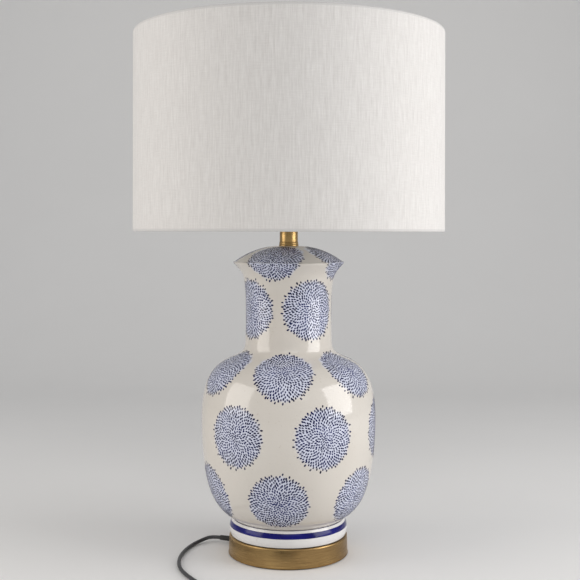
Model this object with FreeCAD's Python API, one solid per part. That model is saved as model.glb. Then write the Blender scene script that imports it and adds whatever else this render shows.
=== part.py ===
import FreeCAD, Part
import math
import os

# Ginger jar table lamp, in millimetres. Z is the lamp's own axis, the floor is z = 0
# and the front looks along -Y.

os.makedirs("parts", exist_ok=True)
Vector = FreeCAD.Vector

# ---- clearances
moving_gap = 0.3        # between pieces that move apart
running_gap = 0.1       # between a pin and the hole it turns in
thread_gap = 0.05       # between a screw thread and its nut
sleeve_gap = 0.1        # between a tube and what is pushed into it

# ---- felt pad and brass base
felt_thickness = 1.2
base_radius = 83.25
base_top_radius = 82.0
base_height = 26.2
base_wall = 1.5
base_edge_round = 2.2
base_lip_width = 9.0    # turned in under the base, the felt is glued to it
felt_inset = 2.25       # from the base's foot to the felt's edge

# ---- jar
gasket_thickness = 1.0
gasket_width = 9.0
gasket_inset = 1.0      # from the edge of the foot's recess
jar_wall = 6.0
foot_radius = 81.7
foot_recess_radius = 68.0
foot_recess_depth = 18.0
jar_floor = 8.0
crease_radius = 77.0
crease_height = 22.8    # heights of the jar are counted from its own underside
belly_radius = 120.95
belly_height = 152.0
neck_radius = 59.65
neck_low = 286.0
neck_high = 312.0
lip_radius = 76.8
lip_height = 375.1
lip_round = 1.9         # how far the rounded lip rises
lip_return = 1.4        # and how far it comes back in
dome_rise = 24.0        # from the lip to the flat land under the collar
dome_bulge_radius = 51.4
dome_bulge_rise = 15.9
land_radius = 13.6
jar_hole_clearance = 1.0    # round the rod

# ---- threaded rod and its hardware
rod_radius = 5.0
rod_bore = 3.5
rod_stub = 1.9          # thread that shows under the bottom nut
washer_radius = 19.0
washer_thickness = 2.0
lock_washer_radius = 9.0
lock_washer_thickness = 1.0
lock_washer_teeth = 12
lock_washer_notch = 1.6
lock_washer_notch_depth = 1.8
nut_across_flats = 14.0
nut_height = 5.0
top_nut_height = 3.5

# ---- brass neck
dome_washer_radius = 10.3
dome_washer_thickness = 1.2
collar_height = 5.2
collar_foot_height = 1.6
collar_chamfer = 1.0
collar_overhang = 0.5   # past the tube that stands on it
tube_radius = 12.7
tube_wall = 1.0
tube_length = 25.3
spigot_height = 3.0
check_ring_thickness = 2.0
check_ring_overhang = 0.4

# ---- harp
saddle_thickness = 1.6
saddle_width = 14.0
saddle_flat = 14.0
saddle_rise = 10.0
saddle_plate_radius = 10.0
shelf_start = 24.0
shelf_end = 34.8
tang_height = 12.4
tang_width = 3.0
tang_start = 27.2
harp_wire_radius = 1.9
harp_rise = 225.9
harp_half_width = 57.0
harp_straight = 40.0    # upright wire above the saddle
harp_spread_height = 88.0
harp_shoulder_drop = 48.0
harp_shoulder_in = 24.0
harp_bends = [40.0, 60.0, 60.0, 25.0]
harp_eye_radius = 9.0
ferrule_length = 12.0
ferrule_wall = 0.85
stud_radius = 3.1
stud_flange_radius = 6.0
stud_flange_height = 2.7
stud_thread = 12.0
stud_rivet_height = 2.0
stud_chamfer = 0.8

# ---- socket, switch and bulb
socket_hub_radius = 7.5
socket_hub_height = 9.9
socket_cap_radius = 16.8
socket_cap_height = 18.9
socket_cap_cone = 9.4
socket_hub_straight = 2.9
socket_cone_wall = 1.7  # measured upright
socket_seat = 1.2       # from the outer to the inner edge of the cone
socket_wall = 0.7
shell_length = 51.0
sleeve_wall = 0.6
sleeve_length = 48.0
body_foot_radius = 9.5
body_foot_height = 8.5
body_height = 17.3
body_lift = 5.4
screw_shell_radius = 14.0
screw_shell_wall = 0.5
screw_shell_length = 22.5
contact_radius = 4.0
contact_thickness = 0.4
terminal_radius = 1.5
terminal_head_radius = 3.0
terminal_head_length = 2.2
lead_wire_radius = 0.8
lead_wire_bend = 1.6
switch_shaft_radius = 1.8
switch_hole_clearance = 0.8
switch_reach = 36.0
switch_knob_radius = 6.4
switch_knob_length = 12.0
switch_knob_flutes = 14
switch_knob_front = 2.0     # left solid in front of the shaft
switch_knob_round = 1.0
flute_radius = 0.8
flute_set_out = 0.35
bulb_cap_radius = 13.05
bulb_cap_length = 24.0
bulb_tip_height = 4.0
bulb_thread_turns = 5
bulb_first_turn = 4.42  # above the cap's foot
bulb_mouth_radius = 9.1
bulb_button_radius = 3.0
bulb_button_rise = 0.8
bulb_insulator_radius = 8.5
bulb_thread_pitch = 2.6
bulb_thread_depth = 0.35
bulb_wall = 0.8
bulb_neck_radius = 12.2
bulb_neck_seat = 6.0    # glass inside the cap
bulb_neck_clear = 1.0   # straight glass above the cap
bulb_radius = 30.0
bulb_length = 86.0
set_screw_radius = 1.3
set_screw_shank = 0.85
set_screw_head = 2.5
set_screw_height = 1.6
set_screw_slot = 0.7
set_screw_slot_width = 0.5

# ---- shade
shade_radius = 215.9
shade_height = 275.0
linen_thickness = 0.7
liner_thickness = 0.5
ring_wire_radius = 1.5
linen_gap = 0.3         # between the linen and the wire it is rolled over
turn_over = 6.0         # linen folded back inside, past the ring
spider_recess = 19.1    # the hub lies this far below the top edge
hub_radius = 11.0
hub_thickness = 1.5
spoke_radius = 1.3
spoke_flat = 26.0       # level part of a spoke, from the hub's middle
spoke_bend = 60.0
spoke_count = 3
finial_height = 33.0
finial_ball = 8.4
finial_stem = 4.4
finial_skirt = 7.56
finial_bead = 6.38
finial_cove = 5.28

# ---- flex
cord_radius = 2.5
cord_length = 1800.0
exit_angle = 158.0      # from +X, seen from above
exit_height = 8.0
relief_length = 20.0
relief_tip_wall = 0.75
bushing_radius = 3.9
bushing_flange_radius = 5.0
bushing_flange = 1.3
bushing_play = 0.4      # between the inner flange and the slanted wall
exit_run = 15.0
inner_cord_bend = 9.0
cord_stub = 2.0         # flex that stands out of the rod's top
coil_pitch = 5.5
coil_half_turns = 8     # in one layer
coil_tail = 25.0
tie_thickness = 0.7
tie_width = 6.0
plug_collar_length = 12.0
plug_length = 26.0
plug_width = 25.0
plug_round = 4.0
plug_collar_wall = 0.8
plug_collar_step = 3.2
blade_length = 17.0
blade_width = 6.35
blade_thickness = 1.5
blade_spacing = 12.7
blade_round = 2.0
blade_hole_radius = 1.5
blade_hole_reach = 12.75

# Where the lead lies on the floor, chosen by hand: x, y and how far it is lifted.
lead_points = [
    (-125.0, 39.5, 1.2),
    (-137.0, 20.5, 0.0),
    (-145.5, -10.0, 0.0),
    (-148.5, -45.0, 0.0),
    (-143.5, -83.0, 0.0),
    (-126.0, -120.0, 0.0),
    (-105.0, -153.0, 0.0),
    (-84.0, -186.0, 1.0),
    (-65.0, -219.0, 1.0),
]

# ---- heights that follow
base_top = felt_thickness + base_height
jar_seat = base_top + gasket_thickness
land_z = jar_seat + lip_height + dome_rise
tube_foot_z = land_z + collar_height
tube_top_z = tube_foot_z + tube_length
saddle_z = tube_top_z + check_ring_thickness
top_nut_z = saddle_z + saddle_thickness
socket_z = top_nut_z + top_nut_height
hub_top_z = socket_z + socket_hub_height
shelf_top_z = saddle_z + saddle_rise + saddle_thickness
harp_foot_z = shelf_top_z + moving_gap
harp_top_z = harp_foot_z + harp_rise
harp_leg_x = tang_start + saddle_thickness + moving_gap + harp_wire_radius
stud_seat_z = harp_top_z + harp_wire_radius + moving_gap
hub_z = stud_seat_z + stud_flange_height + moving_gap
shade_top = hub_z + spider_recess
shade_bottom = shade_top - shade_height
rod_bore_clear = rod_radius + thread_gap
shell_seat_z = socket_z + socket_cap_cone + socket_seat + sleeve_gap
body_z = socket_z + socket_cap_cone + socket_seat + body_lift
body_top_z = body_z + body_height
body_radius = screw_shell_radius + screw_shell_wall
sleeve_inner = body_radius + moving_gap
shell_inner = sleeve_inner + sleeve_wall + sleeve_gap
switch_z = body_z + (body_foot_height + body_height) / 2
bulb_z = body_top_z + contact_thickness + moving_gap
exit_way = Vector(math.cos(math.radians(exit_angle)), math.sin(math.radians(exit_angle)), 0)
felt_radius = base_radius - felt_inset
flange_z = exit_height + bushing_flange_radius
wall_lean = (base_top_radius - base_radius) / (base_height - base_edge_round)
wall_at_flange = base_radius + wall_lean * (flange_z - felt_thickness)
exit_face = max(base_radius, wall_at_flange) + sleeve_gap
bushing_inside = min(base_radius, wall_at_flange) - base_wall - bushing_play - bushing_flange
linen_roll = ring_wire_radius + linen_gap + linen_thickness
ring_centre_radius = shade_radius - linen_roll
top_ring_z = shade_top - linen_roll
relief_tip = exit_way * (exit_face + bushing_flange + relief_length) + Vector(0, 0, exit_height)


def save(name, shape):
    """Writes one node, after checking that every solid in it is sound."""
    for solid in shape.Solids:
        if not solid.isValid() or solid.Volume <= 0:
            raise ValueError("unsound solid in " + name)
    shape.exportStep("parts/" + name + ".step")


def at(radius, height):
    return Vector(radius, 0, height)


def line(start, end):
    return Part.LineSegment(start, end).toShape()


def chain(*points):
    """Straight edges through the points."""
    return [line(a, b) for a, b in zip(points, points[1:])]


def arc(start, middle, end):
    return Part.Arc(start, middle, end).toShape()


def curve(points):
    spline = Part.BSplineCurve()
    spline.interpolate(points)
    return spline


def turned(edges):
    """Solid of revolution about Z from a closed outline in the XZ plane."""
    wire = Part.Wire(Part.__sortEdges__(edges))
    return Part.Face(wire).revolve(Vector(0, 0, 0), Vector(0, 0, 1), 360)


def turned_polygon(*points):
    corners = [at(r, z) for r, z in points]
    return turned(chain(*corners, corners[0]))


def ring(outer, inner, bottom, height):
    bore = Part.makeCylinder(inner, height, at(0, bottom))
    return Part.makeCylinder(outer, height, at(0, bottom)).cut(bore)


def rod_along(radius, start, end):
    return Part.makeCylinder(radius, (end - start).Length, start, end - start)


def unit(vector):
    return Vector(vector) * (1 / vector.Length)


def corner_radius(before, corner, after):
    """Radius that takes 0.45 of the shorter run beside a corner."""
    way_in = unit(corner - before)
    way_out = unit(after - corner)
    half_turn = math.acos(max(-1.0, min(1.0, way_in.dot(way_out)))) / 2
    return 0.45 * min((corner - before).Length, (after - corner).Length) / math.tan(half_turn)


def tangent_wire(points, radii):
    """Straight runs joined by tangent arcs, one radius for each inner corner."""
    edges = []
    last = points[0]
    for before, corner, after, radius in zip(points, points[1:], points[2:], radii):
        way_in = unit(corner - before)
        way_out = unit(after - corner)
        half_turn = math.acos(way_in.dot(way_out)) / 2
        reach = radius * math.tan(half_turn)
        start = corner - way_in * reach
        end = corner + way_out * reach
        inward = unit(way_out - way_in)
        middle = corner + inward * (radius / math.cos(half_turn) - radius)
        if (start - last).Length > 1e-6:
            edges.append(line(last, start))
        edges.append(arc(start, middle, end))
        last = end
    edges.append(line(last, points[-1]))
    return Part.Wire(edges)


def tube(wire, radius):
    """Round bar swept along a wire."""
    first = wire.Edges[0]
    way = first.tangentAt(first.FirstParameter)
    circle = Part.Wire([Part.makeCircle(radius, first.valueAt(first.FirstParameter), way)])
    sweep = Part.BRepOffsetAPI.MakePipeShell(wire)
    sweep.add(circle)
    sweep.build()
    sweep.makeSolid()
    shape = sweep.shape()
    section = math.pi * radius ** 2
    print("  tube volume %.1f, section times length %.1f" % (shape.Volume, section * wire.Length))
    return shape


def hexagon(across_flats, bore, bottom, height):
    corner = across_flats / math.sqrt(3)
    points = []
    for side in range(7):
        angle = math.radians(60 * side)
        points.append(Vector(corner * math.cos(angle), corner * math.sin(angle), bottom))
    block = Part.Face(Part.Wire(chain(*points[:6], points[0]))).extrude(Vector(0, 0, height))
    rounding = Part.makeCone(corner, corner + height, height, at(0, bottom))
    rounding = rounding.fuse(Part.makeCylinder(corner, height, at(0, bottom)))
    return block.common(rounding).cut(Part.makeCylinder(bore, height, at(0, bottom)))


# ---- base

def felt_pad():
    return Part.makeCylinder(felt_radius, felt_thickness)


def base_cap():
    top = base_top
    foot = felt_thickness
    edge = base_edge_round
    slope = 1 - math.sqrt(0.5)
    outer = [
        line(at(base_radius - base_lip_width, foot), at(base_radius, foot)),
        line(at(base_radius, foot), at(base_top_radius, top - edge)),
        arc(at(base_top_radius, top - edge), at(base_top_radius - edge * slope, top - edge * slope),
            at(base_top_radius - edge, top)),
        line(at(base_top_radius - edge, top), at(rod_bore_clear + sleeve_gap, top)),
    ]
    inner = chain(
        at(rod_bore_clear + sleeve_gap, top),
        at(rod_bore_clear + sleeve_gap, top - base_wall),
        at(base_top_radius - edge, top - base_wall),
        at(base_top_radius - base_wall, top - edge - base_wall),
        at(base_radius - base_wall, foot + base_wall),
        at(base_radius - base_lip_width, foot + base_wall),
        at(base_radius - base_lip_width, foot),
    )
    shell = turned(outer + inner)
    start = exit_way * bushing_inside + Vector(0, 0, exit_height)
    end = exit_way * (exit_face + bushing_flange) + Vector(0, 0, exit_height)
    return shell.cut(rod_along(bushing_radius + sleeve_gap, start, end))


def cord_bushing():
    """Flanged bushing in the base wall, with a tapered sleeve outside it."""
    inside = bushing_inside
    outside = exit_face + bushing_flange
    bore = cord_radius + thread_gap
    tip = bore + relief_tip_wall
    outline = [
        (bore, inside), (bushing_flange_radius, inside), (bushing_flange_radius, inside + bushing_flange),
        (bushing_radius, inside + bushing_flange), (bushing_radius, exit_face),
        (bushing_flange_radius, exit_face), (bushing_flange_radius, outside), (bushing_radius, outside),
        (tip, outside + relief_length), (bore, outside + relief_length),
    ]
    shape = turned_polygon(*outline)
    shape.rotate(Vector(0, 0, 0), Vector(0, 1, 0), 90)
    shape.rotate(Vector(0, 0, 0), Vector(0, 0, 1), exit_angle)
    shape.translate(Vector(0, 0, exit_height))
    return shape


def base_gasket():
    outer = foot_recess_radius + gasket_width + gasket_inset
    return ring(outer, outer - gasket_width, base_top, gasket_thickness)


# ---- jar

def between(start, end, shares):
    """Points of a curve, each as its share of the way out and of the way up."""
    return [at(start.x + (end.x - start.x) * out, start.z + (end.z - start.z) * up) for out, up in shares]


def jar_stations():
    """Outline of the body from the crease above the foot to the lip."""
    crease = at(crease_radius, jar_seat + crease_height)
    belly = at(belly_radius, jar_seat + belly_height)
    neck_foot = at(neck_radius, jar_seat + neck_low)
    neck_top = at(neck_radius, jar_seat + neck_high)
    lip = at(lip_radius, jar_seat + lip_height)
    lower = between(crease, belly, [(0.325, 0.085), (0.557, 0.18), (0.745, 0.32), (0.90, 0.55)])
    shoulder = between(belly, neck_foot, [
        (0.046, 0.325), (0.134, 0.459), (0.250, 0.549), (0.477, 0.640), (0.766, 0.705), (0.950, 0.772),
        (0.990, 0.880)])
    flare = between(neck_top, lip, [(0.044, 0.370), (0.160, 0.625), (0.289, 0.752), (0.598, 0.878)])
    return [crease] + lower + [belly] + shoulder + [neck_foot, neck_top] + flare + [lip]


def dome_arc():
    edge = at(lip_radius - lip_return, jar_seat + lip_height + lip_round)
    bulge = at(dome_bulge_radius, jar_seat + lip_height + dome_bulge_rise)
    return Part.ArcOfCircle(edge, bulge, at(land_radius, land_z))


def jar_body():
    stations = jar_stations()
    outline = curve(stations)
    foot_shares = [(0.34, 0.0), (0.0, 0.22), (0.064, 0.526), (0.404, 0.79)]
    foot = curve(between(at(foot_radius, jar_seat), stations[0], foot_shares) + [stations[0]])
    dome = dome_arc()
    edge = dome.StartPoint
    lip = arc(stations[-1], at(lip_radius + 0.05 * lip_round, stations[-1].z + 0.6 * lip_round), edge)
    outer = turned([
        line(at(0, jar_seat), foot.StartPoint), foot.toShape(), outline.toShape(), lip, dome.toShape(),
        line(dome.EndPoint, at(0, land_z)), line(at(0, land_z), at(0, jar_seat))])

    inner_points = []
    for point in stations[:-1]:
        tangent = outline.tangent(outline.parameter(point))[0]
        inner_points.append(point + Vector(-tangent.z, 0, tangent.x) * jar_wall)
    inner = curve(inner_points)
    centre = dome.Center
    shrink = (dome.Radius - jar_wall) / dome.Radius
    span = dome.LastParameter - dome.FirstParameter
    roof = []
    for share in (0.14, 0.5, 1.0):
        over = dome.value(dome.FirstParameter + span * share)
        roof.append(centre + (over - centre) * shrink)
    floor_z = jar_seat + foot_recess_depth + jar_floor
    cavity = turned([
        inner.toShape(), line(inner_points[-1], roof[0]), arc(*roof), line(roof[-1], at(0, roof[-1].z)),
        line(at(0, roof[-1].z), at(0, inner_points[0].z)), line(at(0, inner_points[0].z), inner_points[0])])
    above_floor = Part.makeCylinder(2 * belly_radius, lip_height, at(0, floor_z))
    recess = Part.makeCylinder(foot_recess_radius, foot_recess_depth, at(0, jar_seat))
    rod_hole = Part.makeCylinder(rod_bore_clear + jar_hole_clearance, land_z)
    return outer.cut(cavity.common(above_floor)).cut(recess).cut(rod_hole)


# ---- rod and its hardware

def rod_hardware():
    washer_z = base_top - base_wall - washer_thickness
    lock_z = washer_z - lock_washer_thickness
    nut_z = lock_z - nut_height
    rod_foot = nut_z - rod_stub
    rod = ring(rod_radius, rod_bore, rod_foot, hub_top_z - cord_stub / 2 - rod_foot)
    washer = ring(washer_radius, rod_bore_clear, washer_z, washer_thickness)
    lock = ring(lock_washer_radius, rod_bore_clear, lock_z, lock_washer_thickness)
    for tooth in range(lock_washer_teeth):
        corner = Vector(lock_washer_radius - lock_washer_notch_depth, -lock_washer_notch / 2, lock_z)
        notch = Part.makeBox(2 * lock_washer_notch_depth, lock_washer_notch, lock_washer_thickness, corner)
        notch.rotate(Vector(0, 0, 0), Vector(0, 0, 1), 360.0 * tooth / lock_washer_teeth)
        lock = lock.cut(notch)
    save("threaded_rod", rod)
    save("rod_washer", washer)
    save("rod_lock_washer", lock)
    save("rod_nut", hexagon(nut_across_flats, rod_bore_clear, nut_z, nut_height))
    save("top_lock_nut", hexagon(nut_across_flats, rod_bore_clear, top_nut_z, top_nut_height))


# ---- brass neck

def neck_collar():
    recess = dome_washer_radius + sleeve_gap
    spigot = tube_radius - tube_wall - sleeve_gap
    shoulder = tube_foot_z
    rim = tube_radius + collar_overhang
    foot_z = land_z + collar_foot_height
    return turned_polygon(
        (recess, land_z), (land_radius, land_z), (land_radius, foot_z), (rim, foot_z + collar_chamfer),
        (rim, shoulder), (spigot, shoulder), (spigot, shoulder + spigot_height),
        (rod_bore_clear, shoulder + spigot_height), (rod_bore_clear, land_z + dome_washer_thickness),
        (recess, land_z + dome_washer_thickness))


def check_ring():
    spigot = tube_radius - tube_wall - sleeve_gap
    rim = tube_radius + check_ring_overhang
    foot = tube_top_z - spigot_height
    return turned_polygon(
        (rod_bore_clear, foot), (spigot, foot), (spigot, tube_top_z), (rim, tube_top_z), (rim, saddle_z),
        (rod_bore_clear, saddle_z))


# ---- harp

def harp_saddle():
    t = saddle_thickness
    low = saddle_z
    high = saddle_z + saddle_rise
    mitre = t * math.tan(math.atan2(saddle_rise, shelf_start - saddle_flat) / 2)
    strip = []
    for side in (-1, 1):
        under = [at(0, low), at(side * saddle_flat, low), at(side * shelf_start, high),
                 at(side * shelf_end, high)]
        over = [at(side * shelf_end, high + t), at(side * (shelf_start - mitre), high + t),
                at(side * (saddle_flat - mitre), low + t), at(0, low + t)]
        face = Part.Face(Part.Wire(chain(*under, *over, under[0])))
        arm = face.extrude(Vector(0, saddle_width / 2, 0))
        arm.translate(Vector(0, -saddle_width / 4, 0))
        x = tang_start if side > 0 else -tang_start - t
        tang = Part.makeBox(t, tang_width, tang_height + t, Vector(x, -tang_width / 2, high))
        strip += [arm, tang]
    plate = Part.makeCylinder(saddle_plate_radius, t, at(0, low))
    body = plate.multiFuse(strip).removeSplitter()
    return body.cut(Part.makeCylinder(rod_bore_clear, 4 * t, at(0, low - t)))


def harp_wire():
    x = harp_leg_x
    foot, top = harp_foot_z, harp_top_z
    wide = harp_half_width
    side = [(x, foot), (x, foot + harp_straight), (wide, foot + harp_spread_height),
            (wide, top - harp_shoulder_drop), (wide - harp_shoulder_in, top)]
    points = [at(a, b) for a, b in side] + [at(-a, b) for a, b in reversed(side)]
    print("harp wire")
    wire = tube(tangent_wire(points, harp_bends + harp_bends[::-1]), harp_wire_radius)
    eye = Part.makeCylinder(harp_eye_radius, 2 * harp_wire_radius, at(0, top - harp_wire_radius))
    hole_z = top - 3 * harp_wire_radius
    hole = Part.makeCylinder(stud_radius + running_gap, 6 * harp_wire_radius, at(0, hole_z))
    return wire.fuse(eye).cut(hole)


def harp_stud():
    under = harp_top_z - harp_wire_radius - moving_gap
    rivet = stud_flange_radius - stud_chamfer
    rivet_z = under - stud_rivet_height
    flange_top = stud_seat_z + stud_flange_height
    tip = hub_z + hub_thickness + stud_thread
    return turned_polygon(
        (0, rivet_z), (rivet, rivet_z), (rivet, under), (stud_radius, under), (stud_radius, stud_seat_z),
        (stud_flange_radius, stud_seat_z), (stud_flange_radius, flange_top), (stud_radius, flange_top),
        (stud_radius, tip - stud_chamfer), (stud_radius - stud_chamfer, tip), (0, tip))


def ferrule(side):
    span = harp_leg_x + harp_wire_radius - tang_start
    middle = tang_start + span / 2
    bore = math.hypot(span / 2, tang_width / 2) + moving_gap
    sleeve = ring(bore + ferrule_wall, bore, harp_foot_z, ferrule_length)
    sleeve.translate(Vector(side * middle, 0, 0))
    return sleeve


# ---- socket, switch and bulb

def socket_cap():
    cone_z = socket_z + socket_cap_cone
    top = socket_z + socket_cap_height
    inner = socket_cap_radius - socket_wall
    hub = socket_hub_radius
    bend_z = socket_z + socket_hub_straight
    cap = turned_polygon(
        (rod_bore_clear, socket_z), (hub, socket_z), (hub, bend_z), (socket_cap_radius, cone_z),
        (socket_cap_radius, top), (inner, top), (inner, cone_z + socket_seat),
        (hub, bend_z + socket_cone_wall), (hub, hub_top_z), (rod_bore_clear, hub_top_z))
    screw_z = socket_z + set_screw_height
    hole = rod_along(set_screw_shank + thread_gap, at(0, screw_z), at(2 * hub, screw_z))
    return cap.cut(hole)


def socket_set_screw():
    z = socket_z + set_screw_height
    under_head = socket_hub_radius + sleeve_gap
    top = under_head + set_screw_head
    shank = rod_along(set_screw_shank, at(rod_bore_clear, z), at(under_head, z))
    head = rod_along(set_screw_radius, at(under_head, z), at(top, z))
    corner = Vector(top - set_screw_slot, -set_screw_radius, z - set_screw_slot_width / 2)
    slot = Part.makeBox(set_screw_slot, 2 * set_screw_radius, set_screw_slot_width, corner)
    return shank.fuse(head).cut(slot)


def switch_hole(radius):
    return rod_along(radius, Vector(0, 0, switch_z), Vector(0, -2 * socket_cap_radius, switch_z))


def socket_shell():
    outer = socket_cap_radius - socket_wall - sleeve_gap
    shell = ring(outer, shell_inner, shell_seat_z, shell_length)
    return shell.cut(switch_hole(switch_shaft_radius + switch_hole_clearance))


def socket_sleeve():
    sleeve = ring(sleeve_inner + sleeve_wall, sleeve_inner, shell_seat_z + moving_gap, sleeve_length)
    return sleeve.cut(switch_hole(switch_shaft_radius + switch_hole_clearance))


def socket_body():
    foot = Part.makeCylinder(body_foot_radius, body_foot_height, at(0, body_z))
    head = Part.makeCylinder(body_radius, body_height - body_foot_height, at(0, body_z + body_foot_height))
    body = foot.fuse(head).cut(switch_hole(switch_shaft_radius + running_gap))
    z = body_z + body_foot_height / 2
    for side in (-1, 1):
        start = at(side * body_foot_radius / 2, z)
        body = body.cut(rod_along(terminal_radius + thread_gap, start, at(side * body_radius, z)))
    return body


def terminal_screws():
    z = body_z + body_foot_height / 2
    under_head = body_foot_radius + 2 * lead_wire_radius + 2 * thread_gap
    screws = []
    for side in (-1, 1):
        tip = body_foot_radius / 2 + moving_gap
        shank = rod_along(terminal_radius, at(side * tip, z), at(side * under_head, z))
        top = under_head + terminal_head_length
        head = rod_along(terminal_head_radius, at(side * under_head, z), at(side * top, z))
        screws.append(shank.fuse(head).removeSplitter())
    return Part.makeCompound(screws)


def socket_leads():
    """One insulated wire from the flex to each terminal screw."""
    z = hub_top_z + cord_stub
    level = (z + body_z) / 2
    end = body_z + body_foot_height / 2 - terminal_radius - moving_gap
    out = body_foot_radius + lead_wire_radius + thread_gap
    wires = []
    print("socket leads")
    for side in (-1, 1):
        start = side * (lead_wire_radius + moving_gap)
        corners = [at(start, z), at(start, level), at(side * out, level), at(side * out, end)]
        path = tangent_wire(corners, [lead_wire_bend, lead_wire_bend])
        wires.append(tube(path, lead_wire_radius))
    return Part.makeCompound(wires)


def switch_shaft():
    start = Vector(0, -body_radius / 2, switch_z)
    return rod_along(switch_shaft_radius, start, Vector(0, -switch_reach + switch_knob_front, switch_z))


def switch_knob():
    inner_end = switch_reach - switch_knob_length
    knob = rod_along(switch_knob_radius, Vector(0, -inner_end, switch_z), Vector(0, -switch_reach, switch_z))
    rim = [edge for edge in knob.Edges if abs(edge.Length - 2 * math.pi * switch_knob_radius) < 0.1]
    knob = knob.makeFillet(switch_knob_round, rim)
    for flute in range(switch_knob_flutes):
        angle = 2 * math.pi * flute / switch_knob_flutes
        out = switch_knob_radius + flute_set_out
        place = Vector(out * math.cos(angle), -inner_end, switch_z + out * math.sin(angle))
        knob = knob.cut(rod_along(flute_radius, place, place - Vector(0, switch_knob_length, 0)))
    return knob.cut(switch_shaft())


def screw_shell():
    return ring(screw_shell_radius, screw_shell_radius - screw_shell_wall, body_top_z, screw_shell_length)


def bulb_contact():
    top = bulb_z + bulb_tip_height
    return turned_polygon(
        (0, bulb_z), (bulb_button_radius, bulb_z), (contact_radius, bulb_z + bulb_button_rise),
        (bulb_insulator_radius, top), (0, top))


def bulb_cap():
    """Screw cap of the bulb, with its rolled thread as rounds."""
    foot = bulb_z + bulb_tip_height
    top = foot + bulb_cap_length
    inner = bulb_neck_radius + sleeve_gap
    root = bulb_cap_radius - bulb_thread_depth
    first_z = foot + bulb_first_turn
    mouth = bulb_mouth_radius
    outline = [(mouth, foot + bulb_wall), (mouth, foot), (root, first_z - bulb_thread_pitch / 2)]
    for turn in range(bulb_thread_turns):
        z = first_z + bulb_thread_pitch * turn
        outline += [(bulb_cap_radius, z), (root, z + bulb_thread_pitch / 2)]
    outline += [(root, top), (inner, top), (inner, first_z)]
    return turned_polygon(*outline)


def bulb_glass():
    neck = bulb_z + bulb_tip_height + bulb_cap_length - bulb_neck_seat
    top = neck + bulb_length
    middle = top - bulb_radius
    swell = [(0.36, 0.367), (0.933, 0.755)]

    def outline(wall):
        r = bulb_radius - wall
        start = at(bulb_neck_radius - wall, neck + bulb_neck_seat + bulb_neck_clear)
        widest = at(r, middle)
        side = curve([start] + between(start, widest, swell) + [widest])
        crown = arc(widest, at(r * math.sqrt(0.5), middle + r * math.sqrt(0.5)), at(0, middle + r))
        return turned([
            line(at(bulb_neck_radius - wall, neck), side.StartPoint), side.toShape(), crown,
            line(at(0, middle + r), at(0, neck)), line(at(0, neck), at(bulb_neck_radius - wall, neck))])

    return outline(0.0).cut(outline(bulb_wall))


# ---- shade

def shade_linen():
    """Linen drum whose edges are rolled over the two rings and folded back inside."""
    r = shade_radius
    t = linen_thickness
    roll = linen_roll
    top, low = shade_top, shade_bottom
    edges = chain(at(r, low + roll), at(r, top - roll)) + chain(at(r - t, low + roll), at(r - t, top - roll))
    for edge_z, up in ((top, 1), (low, -1)):
        middle_z = edge_z - up * roll
        end_z = middle_z - up * turn_over
        edges.append(arc(at(r, middle_z), at(r - roll, edge_z), at(r - 2 * roll, middle_z)))
        edges.append(arc(at(r - t, middle_z), at(r - roll, edge_z - up * t), at(r - 2 * roll + t, middle_z)))
        edges += chain(at(r - 2 * roll, middle_z), at(r - 2 * roll, end_z), at(r - 2 * roll + t, end_z),
                       at(r - 2 * roll + t, middle_z))
    drum = turned(edges)
    print("slits for the spokes")
    for slit in spokes(spoke_radius + moving_gap):
        drum = drum.cut(slit)
    return drum


def shade_liner():
    outer = shade_radius - linen_thickness
    return ring(outer, outer - liner_thickness, shade_bottom + 2 * linen_roll, shade_height - 4 * linen_roll)


def wire_ring(z):
    return Part.makeTorus(ring_centre_radius, ring_wire_radius, at(0, z))


def spokes(radius):
    """The three arms from the hub to the top ring, as round bars of any radius."""
    spoke_z = hub_z + spoke_radius
    rim = at(ring_centre_radius, top_ring_z)
    points = [at(hub_radius - spoke_radius, spoke_z), at(spoke_flat, spoke_z), rim]
    arms = []
    for spoke in range(spoke_count):
        arm = tube(tangent_wire(points, [spoke_bend]), radius)
        arm.rotate(Vector(0, 0, 0), Vector(0, 0, 1), 90 + 360.0 * spoke / spoke_count)
        arms.append(arm)
    return arms


def shade_spider():
    """Top ring, three spokes and the drilled hub, brazed into one frame."""
    print("shade spokes")
    frame = [wire_ring(top_ring_z)] + spokes(spoke_radius)
    hub = Part.makeCylinder(hub_radius, hub_thickness, at(0, hub_z))
    hole = Part.makeCylinder(stud_radius + moving_gap, 4 * hub_thickness, at(0, hub_z - hub_thickness))
    return hub.multiFuse(frame).cut(hole)


def shade_bottom_ring():
    return wire_ring(shade_bottom + linen_roll)


def finial():
    """Turned finial: a skirt, a coved stem with a bead, and a ball."""
    foot = hub_z + hub_thickness + moving_gap
    ball_z = foot + finial_height - finial_ball
    ball_foot = ball_z - math.sqrt(finial_ball ** 2 - finial_stem ** 2)
    shares = (0.05, 0.11, 0.21, 0.30, 0.33, 0.38, 0.41)
    skirt_z, cove_z, stem_z, neck_z, bead_z, bead_top, bead_end = [foot + finial_height * x for x in shares]
    skirt, stem, bead = finial_skirt, finial_stem, finial_bead
    profile = chain(at(0, foot), at(skirt, foot), at(skirt, skirt_z))
    profile.append(arc(at(skirt, skirt_z), at(finial_cove, cove_z), at(stem, stem_z)))
    profile += chain(
        at(stem, stem_z), at(stem, neck_z), at(bead, bead_z), at(bead, bead_top), at(stem, bead_end),
        at(stem, ball_foot))
    profile.append(arc(at(stem, ball_foot), at(finial_ball, ball_z), at(0, ball_z + finial_ball)))
    profile.append(line(at(0, ball_z + finial_ball), at(0, foot)))
    bore = Part.makeCylinder(stud_radius + running_gap, stud_thread + 2 * stud_chamfer, at(0, foot))
    return turned(profile).cut(bore)


# ---- flex

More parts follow.
